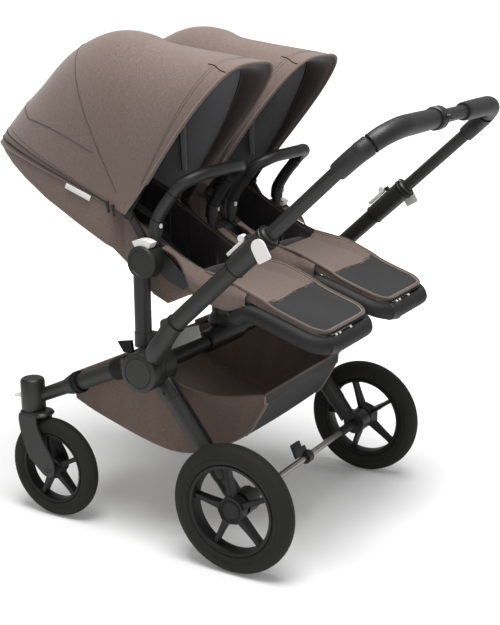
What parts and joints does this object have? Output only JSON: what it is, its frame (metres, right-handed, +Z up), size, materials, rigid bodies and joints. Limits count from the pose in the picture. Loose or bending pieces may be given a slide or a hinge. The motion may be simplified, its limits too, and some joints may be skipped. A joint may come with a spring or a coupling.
{
  "type": "convertible double stroller",
  "caption": "Side-by-side double stroller with reversible seats, folding canopies, an under-seat basket, swivelling front wheels and a folding telescopic handle.",
  "frame": {"origin": "on the floor, in the middle of the footprint", "axes": "+X to the stroller's left, +Y back to the handle, +Z up; it travels along -Y"},
  "size_m": [0.7648, 1.116, 1.1735],
  "materials": {
    "frame_coat": "fine satin texture",
    "black_plastic": "matt",
    "rubber": "matt foam rubber",
    "wheel_plastic": "satin",
    "white_plastic": "satin",
    "bare_steel": "bright",
    "grip_leather": "smooth",
    "outer_fabric": "melange weave",
    "basket_fabric": "weave",
    "inlay_fabric": "padded",
    "footrest_vinyl": "coated",
    "padded_sleeve": "padded"
  },
  "bodies": {
    "chassis": {"basket": "basket_fabric", "centre_post": "black_plastic", "cross_beam": "black_plastic", "front_cross_tube": "frame_coat", "main_hub_left": "frame_coat", "front_arm_left": "frame_coat", "caster_housing_left": "frame_coat", "seat_post_left": "frame_coat", "main_hub_right": "frame_coat", "front_arm_right": "frame_coat", "caster_housing_right": "frame_coat", "seat_post_right": "frame_coat"},
    "handle": {"handle_lower_left": "frame_coat", "handle_clamp_left": "frame_coat", "hub_cap_left": "frame_coat", "handle_lower_right": "frame_coat", "handle_clamp_right": "frame_coat", "hub_cap_right": "frame_coat"},
    "handle_upper": {"handle_bar": "frame_coat", "handle_ring": "black_plastic", "handle_grip_left": "grip_leather", "handle_grip_right": "grip_leather"},
    "rear_frame": {"rear_axle_bar": "bare_steel", "rear_leg_left": "frame_coat", "rear_leg_right": "frame_coat"},
    "brake": {"brake_pedal": "black_plastic"},
    "rear_wheel_left": {"rear_wheel_left_rim": "wheel_plastic", "rear_wheel_left_tyre": "rubber"},
    "front_wheel_left": {"front_wheel_left_rim": "wheel_plastic", "front_wheel_left_tyre": "rubber"},
    "caster_left": {"caster_fork_left": "frame_coat"},
    "lock_left": {"swivel_lock_left": "white_plastic"},
    "clamp_button_left": {"clamp_button_left": "white_plastic"},
    "clamp_lever_left": {"clamp_lever_left": "white_plastic"},
    "seat_left": {"seat_frame_left": "frame_coat", "seat_shell_left": "outer_fabric", "seat_inlay_left": "inlay_fabric", "footrest_tube_left": "padded_sleeve", "footrest_panel_left": "footrest_vinyl", "canopy_left": "outer_fabric"},
    "canopy_front_left": {"canopy_bow_left": "black_plastic"},
    "bumper_left": {"bumper_bar_left": "grip_leather"},
    "seat_button_left": {"seat_button_left": "white_plastic"},
    "rear_wheel_right": {"rear_wheel_right_rim": "wheel_plastic", "rear_wheel_right_tyre": "rubber"},
    "front_wheel_right": {"front_wheel_right_rim": "wheel_plastic", "front_wheel_right_tyre": "rubber"},
    "caster_right": {"caster_fork_right": "frame_coat"},
    "lock_right": {"swivel_lock_right": "white_plastic"},
    "clamp_button_right": {"clamp_button_right": "white_plastic"},
    "clamp_lever_right": {"clamp_lever_right": "white_plastic"},
    "seat_right": {"seat_frame_right": "frame_coat", "seat_shell_right": "outer_fabric", "seat_inlay_right": "inlay_fabric", "footrest_tube_right": "padded_sleeve", "footrest_panel_right": "footrest_vinyl", "canopy_right": "outer_fabric"},
    "canopy_front_right": {"canopy_bow_right": "black_plastic"},
    "bumper_right": {"bumper_bar_right": "grip_leather"},
    "seat_button_right": {"seat_button_right": "white_plastic"}
  },
  "joints": [
    {"name": "handle_fold", "type": "hinge", "parent": "chassis", "child": "handle", "pos_m": [0, -0.04993, 0.433], "axis": [1, 0, 0], "range_deg": [0, 135]},
    {"name": "handle_extend", "type": "slide", "parent": "handle", "child": "handle_upper", "axis": [0, 0.7337, 0.6794], "range_m": [-0.1, 0.05]},
    {"name": "rear_leg_fold", "type": "hinge", "parent": "chassis", "child": "rear_frame", "pos_m": [0, -0.04993, 0.433], "axis": [1, 0, 0], "range_deg": [-40.5, 0]},
    {"name": "brake_press", "type": "hinge", "parent": "rear_frame", "child": "brake", "pos_m": [0, 0.18807, 0.152], "axis": [1, 0, 0], "range_deg": [0, 25]},
    {"name": "rear_wheel_left_spin", "type": "hinge", "parent": "rear_frame", "child": "rear_wheel_left", "pos_m": [0.3415, 0.18807, 0.152], "axis": [1, 0, 0], "continuous": true},
    {"name": "caster_left_swivel", "type": "hinge", "parent": "chassis", "child": "caster_left", "pos_m": [0.3005, -0.41193, 0.268], "axis": [0, 0, 1], "continuous": true},
    {"name": "front_wheel_left_spin", "type": "hinge", "parent": "caster_left", "child": "front_wheel_left", "pos_m": [0.3005, -0.35193, 0.1265], "axis": [1, 0, 0], "continuous": true},
    {"name": "swivel_lock_left_flip", "type": "hinge", "parent": "chassis", "child": "lock_left", "pos_m": [0.3005, -0.44743, 0.299], "axis": [-1, 0, 0], "range_deg": [0, 35]},
    {"name": "clamp_button_left_press", "type": "slide", "parent": "handle", "child": "clamp_button_left", "axis": [-1, 0, 0], "range_m": [0, 0.0012], "stiffness_N_per_m": 600, "springref_m": -0.002},
    {"name": "clamp_lever_left_flip", "type": "hinge", "parent": "handle", "child": "clamp_lever_left", "pos_m": [0.349, 0.22059, 0.76814], "axis": [-1, 0, 0], "range_deg": [0, 70]},
    {"name": "seat_left_tilt", "type": "hinge", "parent": "chassis", "child": "seat_left", "pos_m": [0.16, -0.05893, 0.679], "axis": [1, 0, 0], "range_deg": [-18, 25]},
    {"name": "canopy_left_fold", "type": "hinge", "parent": "seat_left", "child": "canopy_front_left", "pos_m": [0.16, -0.12193, 0.776], "axis": [1, 0, 0], "range_deg": [0, 88], "deforming": ["canopy_left"]},
    {"name": "bumper_left_swing", "type": "hinge", "parent": "seat_left", "child": "bumper_left", "pos_m": [0.276, -0.04793, 0.738], "axis": [0, 0, -1], "range_deg": [0, 90]},
    {"name": "seat_button_left_press", "type": "slide", "parent": "chassis", "child": "seat_button_left", "axis": [0, 0, -1], "range_m": [0, 0.003], "stiffness_N_per_m": 500, "springref_m": -0.002},
    {"name": "rear_wheel_right_spin", "type": "hinge", "parent": "rear_frame", "child": "rear_wheel_right", "pos_m": [-0.3415, 0.18807, 0.152], "axis": [1, 0, 0], "continuous": true},
    {"name": "caster_right_swivel", "type": "hinge", "parent": "chassis", "child": "caster_right", "pos_m": [-0.3005, -0.41193, 0.268], "axis": [0, 0, 1], "continuous": true},
    {"name": "front_wheel_right_spin", "type": "hinge", "parent": "caster_right", "child": "front_wheel_right", "pos_m": [-0.3005, -0.35193, 0.1265], "axis": [1, 0, 0], "continuous": true},
    {"name": "swivel_lock_right_flip", "type": "hinge", "parent": "chassis", "child": "lock_right", "pos_m": [-0.3005, -0.44743, 0.299], "axis": [-1, 0, 0], "range_deg": [0, 35]},
    {"name": "clamp_button_right_press", "type": "slide", "parent": "handle", "child": "clamp_button_right", "axis": [1, 0, 0], "range_m": [0, 0.0012], "stiffness_N_per_m": 600, "springref_m": -0.002},
    {"name": "clamp_lever_right_flip", "type": "hinge", "parent": "handle", "child": "clamp_lever_right", "pos_m": [-0.349, 0.22059, 0.76814], "axis": [-1, 0, 0], "range_deg": [0, 70]},
    {"name": "seat_right_tilt", "type": "hinge", "parent": "chassis", "child": "seat_right", "pos_m": [-0.16, -0.05893, 0.679], "axis": [1, 0, 0], "range_deg": [-18, 25]},
    {"name": "canopy_right_fold", "type": "hinge", "parent": "seat_right", "child": "canopy_front_right", "pos_m": [-0.16, -0.12193, 0.776], "axis": [1, 0, 0], "range_deg": [0, 88], "deforming": ["canopy_right"]},
    {"name": "bumper_right_swing", "type": "hinge", "parent": "seat_right", "child": "bumper_right", "pos_m": [-0.276, -0.04793, 0.738], "axis": [0, 0, 1], "range_deg": [0, 90]},
    {"name": "seat_button_right_press", "type": "slide", "parent": "chassis", "child": "seat_button_right", "axis": [0, 0, -1], "range_m": [0, 0.003], "stiffness_N_per_m": 500, "springref_m": -0.002}
  ],
  "couplings": [
    {"joint": "rear_leg_fold", "follows": "handle_fold", "ratio": -0.3}
  ]
}
